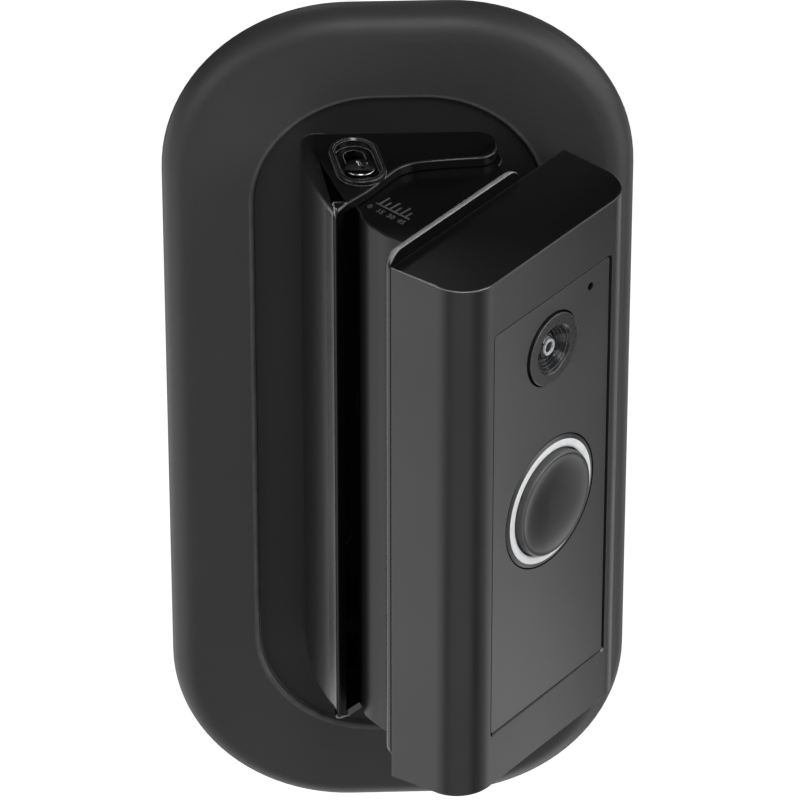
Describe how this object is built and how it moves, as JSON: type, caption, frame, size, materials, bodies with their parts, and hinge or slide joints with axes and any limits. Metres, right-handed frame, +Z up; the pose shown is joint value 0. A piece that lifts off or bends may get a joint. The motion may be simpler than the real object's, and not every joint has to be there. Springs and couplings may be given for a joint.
{
  "type": "video doorbell",
  "caption": "Slim wired video doorbell with camera, light ring and push button, on a locking swivel bracket and an oval wall plate.",
  "frame": {"origin": "centre of the wall plate's back face, on the wall", "axes": "+Z up along the wall, +Y into the wall, +X to the right seen from the front"},
  "size_m": [0.078, 0.0497, 0.159],
  "materials": {
    "plate": "satin",
    "foam": "matte",
    "rubber": "matte",
    "bracket": "semi-gloss",
    "black_steel": "black oxide",
    "steel": "zinc plated",
    "shell": "fine satin",
    "panel": "satin",
    "inner_plastic": "matte",
    "gloss_black": "gloss",
    "lens_glass": "coated",
    "chip": "gloss",
    "diffuser": "translucent satin",
    "board": "solder mask",
    "led": "gloss",
    "flex": "polyimide",
    "button": "fine satin",
    "plunger": "matte",
    "chip_metal": "plated",
    "brass": "plated",
    "ferrite": "matte",
    "capacitor": "sleeved"
  },
  "bodies": {
    "base": {"wall_plate": "plate", "wall_seal": "foam", "cable_grommet": "rubber", "mount_base": "bracket", "base_screws": "black_steel", "pivot_pins": "steel"},
    "swivel": {"swivel_bracket": "bracket", "lock_nuts": "steel", "outer_shell": "shell", "security_screw": "black_steel", "front_panel": "panel", "inner_frame": "inner_plastic", "housing_seal": "rubber", "rear_housing": "inner_plastic", "housing_screws": "steel", "mounting_screws": "steel", "lens_bezel": "gloss_black", "lens_barrel": "gloss_black", "cover_lens": "lens_glass", "lens_elements": "lens_glass", "camera_holder": "inner_plastic", "image_sensor": "chip", "light_ring": "diffuser", "led_board": "board", "led_chips": "led", "led_cable": "flex", "button_seal": "rubber", "switch_body": "inner_plastic", "main_board": "board", "board_screws": "steel", "microphone": "chip_metal", "mic_gasket": "rubber", "speaker": "inner_plastic", "speaker_gasket": "foam", "terminal_block": "inner_plastic", "terminal_screws": "brass", "power_inductor": "ferrite", "capacitors": "capacitor", "wifi_shield": "chip_metal", "antenna": "brass"},
    "button": {"button_cap": "button"},
    "plunger": {"switch_plunger": "plunger"},
    "lock_screw_top": {"lock_screw_top": "black_steel", "lock_washer_top": "black_steel"},
    "lock_screw_bottom": {"lock_screw_bottom": "black_steel", "lock_washer_bottom": "black_steel"}
  },
  "joints": [
    {"name": "swivel_turn", "type": "hinge", "parent": "base", "child": "swivel", "pos_m": [0.0132, -0.0108, 0.006], "axis": [0, 0, 1], "range_deg": [-15, 3]},
    {"name": "button_press", "type": "slide", "parent": "swivel", "child": "button", "axis": [-0.766, 0.6428, 0], "range_m": [0, 0.0006], "stiffness_N_per_m": 2500, "springref_m": -0.0002},
    {"name": "plunger_press", "type": "slide", "parent": "swivel", "child": "plunger", "axis": [-0.766, 0.6428, 0], "range_m": [0, 0.0006]},
    {"name": "lock_screw_top_turn", "type": "hinge", "parent": "swivel", "child": "lock_screw_top", "pos_m": [-0.00664, -0.01634, 0.055], "axis": [0, 0, 1], "continuous": true},
    {"name": "lock_screw_bottom_turn", "type": "hinge", "parent": "swivel", "child": "lock_screw_bottom", "pos_m": [-0.00664, -0.01634, -0.043], "axis": [0, 0, -1], "continuous": true}
  ],
  "couplings": [
    {"joint": "plunger_press", "follows": "button_press", "ratio": 1}
  ]
}
